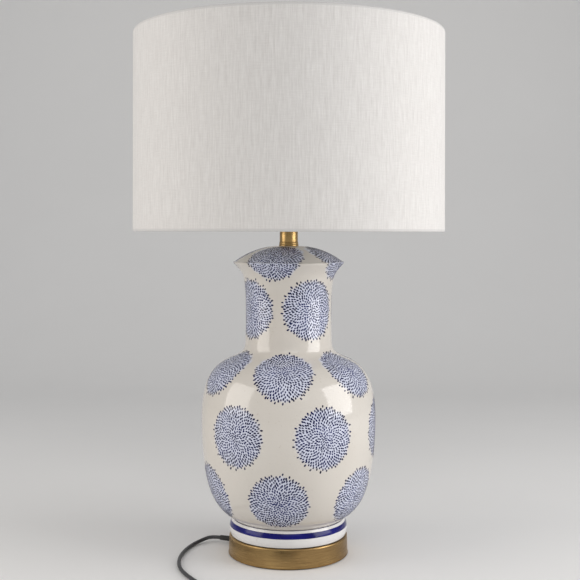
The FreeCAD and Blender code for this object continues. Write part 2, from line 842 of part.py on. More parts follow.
def inner_cord():
    """Held flex: bushing, across the base, up through the rod to the socket."""
    points = [relief_tip, Vector(0, 0, exit_height), Vector(0, 0, hub_top_z + cord_stub)]
    print("inner cord, bend %.1f" % inner_cord_bend)
    return tube(tangent_wire(points, [inner_cord_bend]), cord_radius)


def lead_route():
    floor = cord_radius
    after_exit = relief_tip + exit_way * exit_run
    return [relief_tip, after_exit] + [Vector(x, y, floor + lift) for x, y, lift in lead_points]


def lead_wire():
    points = lead_route()
    radii = [corner_radius(a, b, c) for a, b, c in zip(points, points[1:], points[2:])]
    print("cord lead radii " + " ".join("%.1f" % radius for radius in radii))
    return tangent_wire(points, radii)


def coil_radius(spare_length):
    """Outer turn that uses up the length left over from the lead."""
    half_turns = 2 * coil_half_turns
    shrink = coil_pitch / 2 * coil_half_turns ** 2
    return ((spare_length - cord_radius * 2 - coil_tail) / math.pi + shrink) / (half_turns + 0.5)


def coil_wire(outer):
    """Flat spiral in, a climbing half turn, and a spiral out on top of the first."""
    low = Vector(-outer, 0, 0)
    edges = [line(low + Vector(0, 2 * cord_radius, 0), low)]
    here = low
    step = coil_pitch / 2
    total = 2 * coil_half_turns
    for turn in range(total):
        radius = outer - step * min(turn, total - turn)
        side = 1 if turn % 2 == 0 else -1
        climb = coil_pitch if turn == coil_half_turns else 0.0
        there = here + Vector(2 * radius * side, 0, climb)
        reach = (there - here).Length / 2
        way = Vector(0, -side, 0)
        if climb:
            middle = (here + there) * 0.5 + way * reach
            for start, end in ((here, middle), (middle, there)):
                corner = (here if start == here else there) + way * reach
                centre = start + end - corner
                edges.append(arc(start, centre + unit(corner - centre) * reach, end))
        else:
            edges.append(arc(here, here + Vector(radius * side, -radius * side, 0), there))
        here = there
    quarter = here + Vector(outer * (1 - math.sqrt(0.5)), -outer * math.sqrt(0.5), 0)
    end = here + Vector(outer, -outer, 0)
    edges.append(arc(here, quarter, end))
    edges.append(line(end, end + Vector(coil_tail, 0, 0)))
    return Part.Wire(edges)


def place_coil(shape, outer):
    """Sets a piece drawn beside the coil's own middle where the lead ends."""
    points = lead_route()
    way = unit(points[-1] - points[-2])
    shape.translate(Vector(outer, -2 * cord_radius, 0))
    shape.rotate(Vector(0, 0, 0), Vector(0, 0, 1), math.degrees(math.atan2(way.y, way.x)) + 90)
    shape.translate(points[-1])
    return shape


def least_gap(wire):
    """Least clear distance of a tube to itself, on points along its middle line."""
    spacing = 2.0
    points = wire.discretize(Distance=spacing)
    beside = int(math.pi * 3 * cord_radius / spacing)
    least = 1e9
    for index, point in enumerate(points):
        for other in points[index + beside:]:
            least = min(least, (point - other).Length)
    return least - 2 * cord_radius


def coil_tie(outer):
    """Flat strap round all the turns on one side of the coil."""
    step = coil_pitch / 2
    far = outer - step + cord_radius + moving_gap
    inner_turn = outer - step * (coil_half_turns - 1) - cord_radius
    near = math.sqrt(inner_turn ** 2 - (step + tie_width / 2) ** 2) - moving_gap
    low = -cord_radius - moving_gap
    high = coil_pitch + cord_radius + moving_gap
    t = tie_thickness
    start = Vector(-tie_width / 2, near, low)
    hole = Part.makeBox(tie_width, far - near, high - low, start)
    outside = Part.makeBox(tie_width, far - near + 2 * t, high - low + 2 * t, start - Vector(0, t, t))
    corners = [edge for edge in outside.Edges if abs(edge.tangentAt(0).x) > 0.9]
    return outside.makeFillet(t, corners).cut(hole)


def plug_pieces(outer):
    """Moulded plug with its collar, and its two flat blades, drawn along +X beside the coil."""
    start = Vector(coil_tail, -outer, coil_pitch)
    height = 2 * (lead_route()[-1].z + coil_pitch)
    thin, thick = cord_radius + plug_collar_wall, height / 2 - plug_collar_step
    collar = Part.makeCone(thin, thick, plug_collar_length, start, Vector(1, 0, 0))
    body_x = coil_tail + plug_collar_length
    corner = Vector(body_x, -outer - plug_width / 2, coil_pitch - height / 2)
    body = Part.makeBox(plug_length, plug_width, height, corner)
    body = body.makeFillet(plug_round, [edge for edge in body.Edges if edge.Length < plug_length + 0.1])
    blades = []
    for side in (-1, 1):
        y = -outer + side * blade_spacing / 2 - blade_thickness / 2
        blade = Part.makeBox(blade_length, blade_thickness, blade_width,
                             Vector(body_x + plug_length, y, coil_pitch - blade_width / 2))
        end_x = body_x + plug_length + blade_length - 0.01
        across = [edge for edge in blade.Edges if abs(edge.Length - blade_thickness) < 0.01]
        blade = blade.makeFillet(blade_round, [edge for edge in across if edge.CenterOfMass.x > end_x])
        hole_at = Vector(body_x + plug_length + blade_hole_reach, y - blade_thickness, coil_pitch)
        hole = rod_along(blade_hole_radius, hole_at, hole_at + Vector(0, 3 * blade_thickness, 0))
        blades.append(blade.cut(hole))
    return collar.fuse(body), Part.makeCompound(blades)


def flex():
    lead = lead_wire()
    save("cord_lead", tube(lead, cord_radius))
    outer = coil_radius(cord_length - lead.Length)
    coil = coil_wire(outer)
    print("coil outer turn %.2f, inner turn %.2f" % (outer, outer - coil_pitch / 2 * coil_half_turns))
    print("coil least gap %.2f" % least_gap(coil))
    print("cord length %.1f" % (lead.Length + coil.Length))
    plug, blades = plug_pieces(outer)
    save("cord_coil", place_coil(tube(coil, cord_radius), outer))
    save("coil_tie", place_coil(coil_tie(outer), outer))
    save("plug_body", place_coil(plug, outer))
    save("plug_blades", place_coil(blades, outer))


save("felt_pad", felt_pad())
save("base_cap", base_cap())
save("cord_bushing", cord_bushing())
save("base_gasket", base_gasket())
save("jar_body", jar_body())
rod_hardware()
save("dome_washer", ring(dome_washer_radius, rod_bore_clear, land_z, dome_washer_thickness))
save("neck_collar", neck_collar())
save("neck_tube", ring(tube_radius, tube_radius - tube_wall, tube_foot_z, tube_length))
save("check_ring", check_ring())
save("harp_saddle", harp_saddle())
save("harp_wire", harp_wire())
save("harp_stud", harp_stud())
save("harp_ferrule_left", ferrule(-1))
save("harp_ferrule_right", ferrule(1))
save("socket_cap", socket_cap())
save("socket_set_screw", socket_set_screw())
save("socket_shell", socket_shell())
save("socket_sleeve", socket_sleeve())
save("socket_body", socket_body())
save("terminal_screws", terminal_screws())
save("socket_leads", socket_leads())
save("screw_shell", screw_shell())
save("center_contact", Part.makeCylinder(contact_radius, contact_thickness, at(0, body_top_z)))
save("switch_shaft", switch_shaft())
save("switch_knob", switch_knob())
save("bulb_contact", bulb_contact())
save("bulb_cap", bulb_cap())
save("bulb_glass", bulb_glass())
save("shade_linen", shade_linen())
save("shade_liner", shade_liner())
save("shade_spider", shade_spider())
save("shade_bottom_ring", shade_bottom_ring())
save("finial", finial())
save("inner_cord", inner_cord())
flex()
print("shade from %.1f to %.1f" % (shade_bottom, shade_top))
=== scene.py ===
import bmesh
import bpy
import math
import numpy as np
import random
from mathutils import Matrix, Vector, noise


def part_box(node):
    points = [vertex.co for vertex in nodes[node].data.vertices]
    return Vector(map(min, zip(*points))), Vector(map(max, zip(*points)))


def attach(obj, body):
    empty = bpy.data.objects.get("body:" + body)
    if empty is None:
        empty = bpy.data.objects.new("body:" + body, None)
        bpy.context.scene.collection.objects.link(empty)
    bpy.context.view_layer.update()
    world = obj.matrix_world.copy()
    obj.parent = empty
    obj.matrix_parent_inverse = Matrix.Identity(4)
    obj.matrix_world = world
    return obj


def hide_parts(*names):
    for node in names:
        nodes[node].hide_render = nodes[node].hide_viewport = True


# Ginger jar table lamp. Metres, Z up, the front looks along -Y.

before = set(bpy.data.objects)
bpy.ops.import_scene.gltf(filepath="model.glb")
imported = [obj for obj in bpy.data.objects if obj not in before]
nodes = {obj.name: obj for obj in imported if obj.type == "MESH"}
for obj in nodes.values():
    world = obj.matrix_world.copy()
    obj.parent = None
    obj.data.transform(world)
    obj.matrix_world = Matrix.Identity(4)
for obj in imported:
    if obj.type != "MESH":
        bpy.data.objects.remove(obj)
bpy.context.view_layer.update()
print("frame loaded:", len(nodes), "nodes")


# camera of the photograph
photoCamera = {
    "pixels": 580,
    "focalPixels": 1045.4,
    "distance": 1.4619,
    "height": 0.44685,
    "horizonRow": 231.9,
    "axisColumn": 288.8,
    "roll": 0.002,
    "sensor": 36.0,
}


def makeCamera(values):
    data = bpy.data.cameras.new("photoCamera")
    data.sensor_width = values["sensor"]
    data.lens = values["focalPixels"] / values["pixels"] * values["sensor"]
    middle = values["pixels"] / 2
    data.shift_x = (middle - values["axisColumn"]) / values["pixels"]
    data.shift_y = (values["horizonRow"] - middle) / values["pixels"]
    camera = bpy.data.objects.new("photoCamera", data)
    camera.location = (0, -values["distance"], values["height"])
    camera.rotation_euler = (math.pi / 2, -values["roll"], 0)
    bpy.context.scene.collection.objects.link(camera)
    bpy.context.scene.camera = camera


makeCamera(photoCamera)


# helpers for the materials
noiseLow, noiseHigh = 0.3, 0.7      # most of a noise lies between these
grainDepth = 0.0004


def plugIn(material, value, socket):
    if isinstance(value, bpy.types.NodeSocket):
        material.node_tree.links.new(value, socket)
    else:
        socket.default_value = value


def addNode(material, kind, inputs, **settings):
    made = material.node_tree.nodes.new("ShaderNode" + kind)
    for name, value in settings.items():
        setattr(made, name, value)
    for name, value in inputs.items():
        plugIn(material, value, made.inputs[name])
    return made


def startMaterial(name, values):
    material = bpy.data.materials.new(name)
    material.use_nodes = True
    shader = material.node_tree.nodes["Principled BSDF"]
    for socket, value in values.items():
        shader.inputs[socket].default_value = value
    return material, shader


def objectPlace(material):
    return addNode(material, "TexCoord", {}).outputs["Object"]


def calculate(material, operation, first, second=0.0):
    return addNode(material, "Math", {0: first, 1: second}, operation=operation).outputs[0]


def noiseOf(material, place, scale, detail=2.0, rough=0.5):
    inputs = {"Vector": place, "Scale": scale, "Detail": detail, "Roughness": rough}
    return addNode(material, "TexNoise", inputs).outputs["Fac"]


def scaled(material, place, scale):
    return addNode(material, "Mapping", {"Vector": place, "Scale": scale}).outputs["Vector"]


def spread(material, value, fromLow, fromHigh, toLow, toHigh):
    inputs = {"Value": value, "From Min": fromLow, "From Max": fromHigh,
              "To Min": toLow, "To Max": toHigh}
    return addNode(material, "MapRange", inputs).outputs["Result"]


def mixed(material, share, first, second):
    return addNode(material, "Mix", {0: share, 6: first, 7: second}, data_type="RGBA").outputs[2]


def bumped(material, height, strength, distance):
    inputs = {"Height": height, "Strength": strength, "Distance": distance}
    return addNode(material, "Bump", inputs).outputs["Normal"]


def aroundAxis(material):
    # angle round the lamp's axis with its seam at the back, height, and distance from the axis
    parts = addNode(material, "SeparateXYZ", {0: objectPlace(material)}).outputs
    back = calculate(material, "MULTIPLY", parts["Y"], -1.0)
    angle = calculate(material, "ARCTAN2", parts["X"], back)
    square = calculate(material, "ADD", calculate(material, "MULTIPLY", parts["X"], parts["X"]),
                       calculate(material, "MULTIPLY", parts["Y"], parts["Y"]))
    return angle, parts["Z"], calculate(material, "SQRT", square)


# glaze: ivory, washed blue under the flowers and white on the foot
def makeGlaze(values):
    material, shader = startMaterial("ivoryGlaze", {
        "Roughness": values["roughness"], "IOR": values["refraction"],
        "Coat Weight": values["coat"], "Coat Roughness": values["coatRoughness"]})
    place = objectPlace(material)
    clouds = noiseOf(material, place, values["cloudScale"], 3.0)
    cloud = spread(material, clouds, noiseLow, noiseHigh, 0.0, 1.0)
    body = mixed(material, cloud, values["ivory"], values["ivoryDeep"])
    wash = addNode(material, "Attribute", {}, attribute_name="wash").outputs["Fac"]
    washed = mixed(material, wash, body, values["wash"])
    height = addNode(material, "SeparateXYZ", {0: place}).outputs["Z"]
    onFoot = spread(material, height, values["footTop"] + values["footBlend"], values["footTop"], 0.0, 1.0)
    specks = noiseOf(material, place, values["speckScale"], 0.0)
    speck = spread(material, specks, *values["speckFrom"], 0.0, values["speckShare"])
    specked = mixed(material, speck, mixed(material, onFoot, washed, values["foot"]), values["speck"])
    plugIn(material, specked, shader.inputs["Base Color"])
    ripple = noiseOf(material, place, values["rippleScale"], 2.0)
    waves = bumped(material, ripple, values["ripple"], values["rippleDepth"])
    plugIn(material, waves, shader.inputs["Normal"])
    return material


cobaltPaint = {
    "roughness": 0.16,
    "refraction": 1.5,
    "shine": 0.3,
    "flowFrom": (0.35, 0.65),
    "flowShare": 0.6,
    "thinShare": 0.4,
}


def makeCobalt(name, deep, bright, patch):
    # the brush leaves the colour uneven, and a stroke's "thin" attribute makes it brighter
    values = cobaltPaint
    material, shader = startMaterial(name, {
        "Roughness": values["roughness"], "IOR": values["refraction"], "Specular IOR Level": values["shine"]})
    patches = noiseOf(material, objectPlace(material), patch, 2.0)
    flow = spread(material, patches, *values["flowFrom"], 0.0, values["flowShare"])
    thin = addNode(material, "Attribute", {}, attribute_name="thin").outputs["Fac"]
    share = calculate(material, "ADD", flow, calculate(material, "MULTIPLY", thin, values["thinShare"]))
    plugIn(material, mixed(material, share, deep, bright), shader.inputs["Base Color"])
    return material


brushing = {
    "detail": 4.0,
    "coarseness": 0.7,
    "low": 0.25,
    "high": 0.75,
    "patinaShare": 0.5,
    "middle": 0.25,
    "depth": 0.0003,
}


def makeBrass(name, values):
    # short brushed lines run round the axis over a slow patina
    material, shader = startMaterial(name, {"Metallic": 1.0, "Anisotropic": values["anisotropy"]})
    angle, height, out = aroundAxis(material)
    across = calculate(material, "ADD", height, out)
    turned = calculate(material, "MULTIPLY", angle, values["streaks"])
    sweep = addNode(material, "CombineXYZ", {0: turned, 1: across}).outputs[0]
    stretched = scaled(material, sweep, (1.0, values["lines"], 1.0))
    lines = noiseOf(material, stretched, 1.0, brushing["detail"], brushing["coarseness"])
    patina = noiseOf(material, objectPlace(material), values["patinaScale"], 3.0)
    tone = spread(material, patina, noiseLow, noiseHigh, 0.0, 1.0)
    low, high, middle = brushing["low"], brushing["high"], brushing["middle"]
    darker = spread(material, lines, low, high, middle - values["contrast"], middle + values["contrast"])
    lined = calculate(material, "ADD", calculate(material, "MULTIPLY", tone, brushing["patinaShare"]), darker)
    plugIn(material, mixed(material, lined, values["light"], values["dark"]), shader.inputs["Base Color"])
    rough = spread(material, lines, low, high, values["smoothest"], values["roughest"])
    plugIn(material, rough, shader.inputs["Roughness"])
    plugIn(material, bumped(material, lines, values["bump"], brushing["depth"]), shader.inputs["Normal"])
    tangent = addNode(material, "Tangent", {}, direction_type="RADIAL", axis="Z").outputs[0]
    plugIn(material, tangent, shader.inputs["Tangent"])
    return material


def makeLinen(values):
    # warp, weft and slubs, with painted shade darkening the rolled hems
    material, shader = startMaterial("slubLinen", {
        "Roughness": values["roughness"], "Specular IOR Level": values["shine"],
        "Sheen Weight": values["sheen"], "Sheen Roughness": values["sheenRoughness"]})
    angle, height, _ = aroundAxis(material)
    along = calculate(material, "MULTIPLY", angle, values["radius"])
    cloth = addNode(material, "CombineXYZ", {0: along, 1: height}).outputs[0]
    slubs = noiseOf(material, scaled(material, cloth, values["slubs"]), 1.0, 2.0, 0.5)
    warp = noiseOf(material, scaled(material, cloth, values["warp"]), 1.0, 2.0, 0.6)
    weft = noiseOf(material, scaled(material, cloth, values["weft"]), 1.0, 2.0, 0.6)
    threads = calculate(material, "ADD", calculate(material, "MULTIPLY", warp, values["warpShare"]),
                        calculate(material, "MULTIPLY", weft, 1 - values["warpShare"]))
    weave = calculate(material, "ADD", calculate(material, "MULTIPLY", slubs, 1 - values["threadShare"]),
                      calculate(material, "MULTIPLY", threads, values["threadShare"]))
    tone = spread(material, weave, *values["weaveFrom"], 0.0, 1.0)
    woven = mixed(material, tone, values["shadow"], values["light"])
    middle = (values["low"] + values["high"]) / 2
    fromMiddle = calculate(material, "ABSOLUTE", calculate(material, "SUBTRACT", height, middle))
    half = (values["high"] - values["low"]) / 2
    hemStart = half - values["hem"]
    # painted shade: near both rims the cloth is blended towards a darker grey, standing in for the shade of
    # the rolled edge
    hemShadeMask = spread(material, fromMiddle, hemStart - values["hemBlend"], hemStart, 0.0, values["hemShadeShare"])
    plugIn(material, mixed(material, hemShadeMask, woven, values["hemShadeTone"]), shader.inputs["Base Color"])
    plugIn(material, bumped(material, weave, values["bump"], values["depth"]), shader.inputs["Normal"])
    return material


def makeGrained(name, low, high, scale, roughness, bump, **sockets):
    values = {"Roughness": roughness}
    values.update(sockets)
    material, shader = startMaterial(name, values)
    grain = noiseOf(material, objectPlace(material), scale, 3.0, 0.6)
    tone = spread(material, grain, noiseLow, noiseHigh, 0.0, 1.0)
    plugIn(material, mixed(material, tone, low, high), shader.inputs["Base Color"])
    plugIn(material, bumped(material, grain, bump, grainDepth), shader.inputs["Normal"])
    return material


glaze = makeGlaze({
    "ivory": (0.70, 0.665, 0.61, 1),
    "ivoryDeep": (0.655, 0.61, 0.55, 1),
    "wash": (0.65, 0.685, 0.82, 1),
    "foot": (0.76, 0.75, 0.74, 1),
    "speck": (0.42, 0.33, 0.25, 1),
    "footTop": 0.0502,
    "footBlend": 0.001,
    "roughness": 0.12,
    "refraction": 1.5,
    "coat": 0.3,
    "coatRoughness": 0.03,
    "cloudScale": 7.0,
    "speckScale": 420.0,
    "speckFrom": (0.78, 0.84),
    "speckShare": 0.25,
    "rippleScale": 45.0,
    "ripple": 0.06,
    "rippleDepth": 0.001,
})
strokeBlue = makeCobalt("strokeCobalt", (0.0018, 0.0026, 0.026, 1), (0.006, 0.013, 0.12, 1), 60.0)
bandBlue = makeCobalt("bandCobalt", (0.0015, 0.0018, 0.10, 1), (0.003, 0.004, 0.19, 1), 30.0)
antiqueBrass = makeBrass("antiqueBrass", {
    "light": (0.54, 0.36, 0.15, 1), "dark": (0.19, 0.115, 0.05, 1), "patinaScale": 14.0, "lines": 900.0,
    "streaks": 2.2, "contrast": 0.36, "smoothest": 0.20, "roughest": 0.42, "bump": 0.18, "anisotropy": 0.6})
tubeBrass = makeBrass("tubeBrass", {
    "light": (0.56, 0.375, 0.155, 1), "dark": (0.22, 0.135, 0.058, 1), "patinaScale": 30.0, "lines": 1400.0,
    "streaks": 0.5, "contrast": 0.16, "smoothest": 0.20, "roughest": 0.34, "bump": 0.08, "anisotropy": 0.5})
brightBrass = makeBrass("brightBrass", {
    "light": (0.86, 0.66, 0.34, 1), "dark": (0.74, 0.54, 0.25, 1), "patinaScale": 30.0, "lines": 900.0,
    "streaks": 0.5, "contrast": 0.3, "smoothest": 0.16, "roughest": 0.28, "bump": 0.05, "anisotropy": 0.3})
wireBrass = makeGrained("wireBrass", (0.24, 0.15, 0.065, 1), (0.50, 0.335, 0.14, 1),
                        70.0, 0.3, 0.05, Metallic=1.0)
shadeLow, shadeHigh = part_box("shade_linen")
linenCloth = makeLinen({
    "radius": shadeHigh.x, "low": shadeLow.z, "high": shadeHigh.z,
    "hem": 0.0034, "hemBlend": 0.0004, "hemShadeShare": 0.75,
    "light": (0.77, 0.755, 0.735, 1), "shadow": (0.64, 0.62, 0.60, 1), "hemShadeTone": (0.60, 0.59, 0.58, 1),
    "slubs": (430.0, 26.0, 1.0), "warp": (900.0, 60.0, 1.0), "weft": (60.0, 800.0, 1.0),
    "warpShare": 0.6, "threadShare": 0.6, "weaveFrom": (0.36, 0.64), "bump": 0.5, "depth": 0.0008,
    "roughness": 0.92, "shine": 0.2, "sheen": 0.25, "sheenRoughness": 0.6})
linerWhite = makeGrained("linerWhite", (0.82, 0.805, 0.775, 1), (0.84, 0.825, 0.795, 1), 160.0, 0.5, 0.03)
whiteWire = makeGrained("whiteWire", (0.72, 0.71, 0.69, 1), (0.80, 0.79, 0.77, 1), 300.0, 0.38, 0.05)
zincSteel = makeGrained("zincSteel", (0.42, 0.42, 0.41, 1), (0.60, 0.60, 0.58, 1),
                        220.0, 0.34, 0.08, Metallic=1.0)
aluminium = makeGrained("aluminium", (0.66, 0.66, 0.66, 1), (0.80, 0.80, 0.79, 1),
                        260.0, 0.3, 0.06, Metallic=1.0)
phenolic = makeGrained("phenolic", (0.012, 0.011, 0.010, 1), (0.028, 0.025, 0.022, 1), 140.0, 0.36, 0.06)
fibreBoard = makeGrained("fibreBoard", (0.30, 0.20, 0.11, 1), (0.42, 0.30, 0.17, 1), 320.0, 0.85, 0.25)
blackRubber = makeGrained("blackRubber", (0.018, 0.018, 0.018, 1), (0.034, 0.034, 0.033, 1),
                          400.0, 0.75, 0.15)
flexPlastic = makeGrained("flexPlastic", (0.030, 0.030, 0.033, 1), (0.050, 0.050, 0.054, 1),
                          500.0, 0.42, 0.08)
greenFelt = makeGrained("greenFelt", (0.010, 0.026, 0.016, 1), (0.034, 0.062, 0.042, 1), 1400.0, 0.98, 0.9,
                        **{"Sheen Weight": 0.5})
frostedGlass = makeGrained("frostedGlass", (0.82, 0.815, 0.80, 1), (0.86, 0.855, 0.84, 1), 90.0, 0.24, 0.02,
                           **{"Coat Weight": 0.3, "Coat Roughness": 0.12})
print("materials made")


# helpers for the shapes
def newPiece(name, shape, material, body, standsFor=()):
    mesh = bpy.data.meshes.new(name)
    shape.to_mesh(mesh)
    shape.free()
    mesh.materials.append(material)
    piece = bpy.data.objects.new(name, mesh)
    bpy.context.scene.collection.objects.link(piece)
    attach(piece, body)
    if standsFor:
        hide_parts(*standsFor)
    return piece


def smoothFaces(shape, sharpAngle=math.radians(38)):
    for face in shape.faces:
        face.smooth = True
    for edge in shape.edges:
        edge.smooth = edge.calc_face_angle(0.0) < sharpAngle


def lathe(outline, steps, closed=True):
    # spins an outline of (radius, height) pairs round the lamp's axis
    shape = bmesh.new()
    ringVerts = [shape.verts.new((r, 0, z)) for r, z in outline]
    pairs = list(zip(ringVerts, ringVerts[1:]))
    if closed:
        pairs.append((ringVerts[-1], ringVerts[0]))
    ringEdges = [shape.edges.new(pair) for pair in pairs]
    bmesh.ops.spin(shape, geom=ringVerts + ringEdges, cent=(0, 0, 0), axis=(0, 0, 1), dvec=(0, 0, 0),
                   angle=2 * math.pi, steps=steps, use_merge=True, use_duplicate=False)
    bmesh.ops.remove_doubles(shape, verts=shape.verts, dist=1e-6)
    bmesh.ops.recalc_face_normals(shape, faces=shape.faces)
    return shape


def arcThrough(start, middle, end, count):
    # points of the circle through three points, the start left out
    (ax, az), (bx, bz), (cx, cz) = start, middle, end
    scale = 2 * (ax * (bz - cz) + bx * (cz - az) + cx * (az - bz))
    a, b, c = ax * ax + az * az, bx * bx + bz * bz, cx * cx + cz * cz
    centre = ((a * (bz - cz) + b * (cz - az) + c * (az - bz)) / scale,
              (a * (cx - bx) + b * (ax - cx) + c * (bx - ax)) / scale)
    angles = [math.atan2(z - centre[1], x - centre[0]) for x, z in (start, middle, end)]
    sweep = (angles[2] - angles[0]) % (2 * math.pi)
    if (angles[1] - angles[0]) % (2 * math.pi) > sweep:
        sweep -= 2 * math.pi
    radius = math.dist(centre, start)
    return [(centre[0] + radius * math.cos(angles[0] + sweep * step / count),
             centre[1] + radius * math.sin(angles[0] + sweep * step / count)) for step in range(1, count + 1)]


def splineThrough(points, spacing):
    # natural cubic spline by chord length, at an even spacing
    points = np.array(points)
    reach = np.concatenate([[0.0], np.cumsum(np.linalg.norm(np.diff(points, axis=0), axis=1))])
    gaps = np.diff(reach)
    system = np.eye(len(reach))
    right = np.zeros((len(reach), 2))
    for k in range(1, len(reach) - 1):
        system[k, k - 1:k + 2] = gaps[k - 1], 2 * (gaps[k - 1] + gaps[k]), gaps[k]
        right[k] = 6 * ((points[k + 1] - points[k]) / gaps[k] - (points[k] - points[k - 1]) / gaps[k - 1])
    bend = np.linalg.solve(system, right)
    made = []
    for at in np.linspace(0.0, reach[-1], int(reach[-1] / spacing) + 1):
        k = min(int(np.searchsorted(reach, at, side="right")) - 1, len(gaps) - 1)
        left, ahead = reach[k + 1] - at, at - reach[k]
        value = (bend[k] * left ** 3 + bend[k + 1] * ahead ** 3) / (6 * gaps[k])
        value = value + (points[k] / gaps[k] - bend[k] * gaps[k] / 6) * left
        value = value + (points[k + 1] / gaps[k] - bend[k + 1] * gaps[k] / 6) * ahead
        made.append(tuple(float(x) for x in value))
    return made


# flex: the lead and its put-away coil
mainsFlex = {
    "diameter": 0.005,
    "length": 1.8,
    "reliefTip": (-0.09703, 0.03920, 0.0080),
    "route": [(-0.11094, 0.04482, 0.0080), (-0.1250, 0.0395, 0.0037), (-0.1370, 0.0205, 0.0025),
              (-0.1455, -0.0100, 0.0025), (-0.1485, -0.0450, 0.0025), (-0.1435, -0.0830, 0.0025),
              (-0.1260, -0.1200, 0.0025), (-0.1050, -0.1530, 0.0025), (-0.0840, -0.1860, 0.0035),
              (-0.0650, -0.2190, 0.0035)],
    "outerTurn": 0.03876,
    "pitch": 0.0055,
    "halfTurns": 8,
    "tail": 0.025,
    "pointsPerHalfTurn": 8,
}


def coilPoints(values):
    # points drawn outside each half turn, so that the smooth line through them keeps its radius
    outer, pitch, count = values["outerTurn"], values["pitch"], values["pointsPerHalfTurn"]
    shrink = pitch / 2
    here = Vector((-outer, 0, 0))
    angleStep = math.pi / count
    points = []
    for turn in range(2 * values["halfTurns"] + 1):
        radius = outer - shrink * min(turn, 2 * values["halfTurns"] - turn)
        side = 1 if turn % 2 == 0 else -1
        climb = pitch if turn == values["halfTurns"] else 0.0
        centre = here + Vector((side * radius, 0, 0))
        begin = math.pi if side > 0 else 0.0
        last = turn == 2 * values["halfTurns"]
        for step in range(count // 2 if last else count):
            angle = begin + (step + 0.5) * angleStep
            out = radius / math.cos(angleStep / 2)
            rise = climb * (step + 0.5) / count
            points.append(centre + Vector((out * math.cos(angle), out * math.sin(angle), rise)))
        if last:
            end = centre + Vector((0, -radius, 0))
            points += [end + Vector((values["tail"] * share, 0, 0)) for share in (0.3, 0.65, 1.0)]
        here = here + Vector((2 * side * radius, 0, climb))
    return points


def coilPlace(values):
    before, start = (Vector(point) for point in values["route"][-2:])
    way = start - before
    turn = Matrix.Rotation(math.atan2(way.y, way.x) + math.pi / 2, 4, "Z")
    beside = Matrix.Translation((values["outerTurn"], -values["diameter"], 0))
    return Matrix.Translation(start) @ turn @ beside


def makeFlex(values):
    place = coilPlace(values)
    points = [Vector(values["reliefTip"])] + [Vector(point) for point in values["route"]]
    points += [place @ point for point in coilPoints(values)]
    curve = bpy.data.curves.new("flex", "CURVE")
    curve.dimensions = "3D"
    curve.bevel_depth = values["diameter"] / 2
    curve.bevel_resolution = 3
    curve.resolution_u = 5
    curve.use_fill_caps = True
    spline = curve.splines.new("NURBS")
    spline.points.add(len(points) - 1)
    for slot, point in zip(spline.points, points):
        slot.co = (*point, 1)
    spline.order_u = 3
    spline.use_endpoint_u = True
    curve.materials.append(flexPlastic)
    piece = bpy.data.objects.new("flex", curve)
    bpy.context.scene.collection.objects.link(piece)
    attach(piece, "lamp_base")
    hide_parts("cord_lead", "cord_coil")
    return piece


flex = makeFlex(mainsFlex)
print("flex laid")


# jar: the shares place points of its outline between two stations
jarForm = {
    "footRadius": 0.0817, "creaseRadius": 0.0770, "creaseUp": 0.0228,
    "bellyRadius": 0.12095, "bellyUp": 0.1520,
    "neckRadius": 0.05965, "neckLow": 0.2860, "neckHigh": 0.3120,
    "lipRadius": 0.0768, "lipUp": 0.3751, "lipRound": 0.0019, "lipReturn": 0.0014,
    "bulgeRadius": 0.0514, "bulgeUp": 0.0159,
    "landRadius": 0.0136, "domeRise": 0.0240,
    "wall": 0.006, "recessRadius": 0.068, "recess": 0.018, "floor": 0.008, "holeRadius": 0.00605,
    "lipTurn": (0.05, 0.6), "lipPoints": 4, "domePoints": 34,
    "wallEvery": 5, "floorInset": 0.002, "outsideWithin": 0.001,
    "steps": 256, "spacing": 0.0024,
    "footShares": [(0.34, 0.0), (0.0, 0.22), (0.064, 0.526), (0.404, 0.79)],
    "lowerShares": [(0.325, 0.085), (0.557, 0.18), (0.745, 0.32), (0.90, 0.55)],
    "shoulderShares": [(0.046, 0.325), (0.134, 0.459), (0.250, 0.549), (0.477, 0.640), (0.766, 0.705),
                       (0.950, 0.772), (0.990, 0.880)],
    "flareShares": [(0.044, 0.370), (0.160, 0.625), (0.289, 0.752), (0.598, 0.878)],
}


def between(start, end, shares):
    wide, tall = end[0] - start[0], end[1] - start[1]
    return [(start[0] + wide * out, start[1] + tall * up) for out, up in shares]


def jarOutline(values, seat):
    crease = (values["creaseRadius"], seat + values["creaseUp"])
    belly = (values["bellyRadius"], seat + values["bellyUp"])
    neckFoot = (values["neckRadius"], seat + values["neckLow"])
    neckTop = (values["neckRadius"], seat + values["neckHigh"])
    lip = (values["lipRadius"], seat + values["lipUp"])
    stations = [crease] + between(crease, belly, values["lowerShares"]) + [belly]
    stations += between(belly, neckFoot, values["shoulderShares"]) + [neckFoot, neckTop]
    stations += between(neckTop, lip, values["flareShares"]) + [lip]
    footStart = (values["footRadius"], seat)
    foot = splineThrough(between(footStart, crease, values["footShares"]) + [crease], values["spacing"] / 2)
    wall = splineThrough(stations, values["spacing"])
    edge = (lip[0] - values["lipReturn"], lip[1] + values["lipRound"])
    turnOut, turnUp = values["lipTurn"]
    turn = (lip[0] + turnOut * values["lipRound"], lip[1] + turnUp * values["lipRound"])
    bulge = (values["bulgeRadius"], lip[1] + values["bulgeUp"])
    land = (values["landRadius"], lip[1] + values["domeRise"])
    dome = arcThrough(edge, bulge, land, values["domePoints"])
    return foot + wall[1:] + arcThrough(lip, turn, edge, values["lipPoints"]) + dome, wall


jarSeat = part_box("jar_body")[0].z
glazedOutline, wallOutline = jarOutline(jarForm, jarSeat)
outlineRadius = np.array([point[0] for point in glazedOutline])
outlineHeight = np.array([point[1] for point in glazedOutline])
outlineReach = np.concatenate([[0.0], np.cumsum(np.hypot(np.diff(outlineRadius), np.diff(outlineHeight)))])


def reachAtHeight(height):
    return float(np.interp(height, outlineHeight, outlineReach))


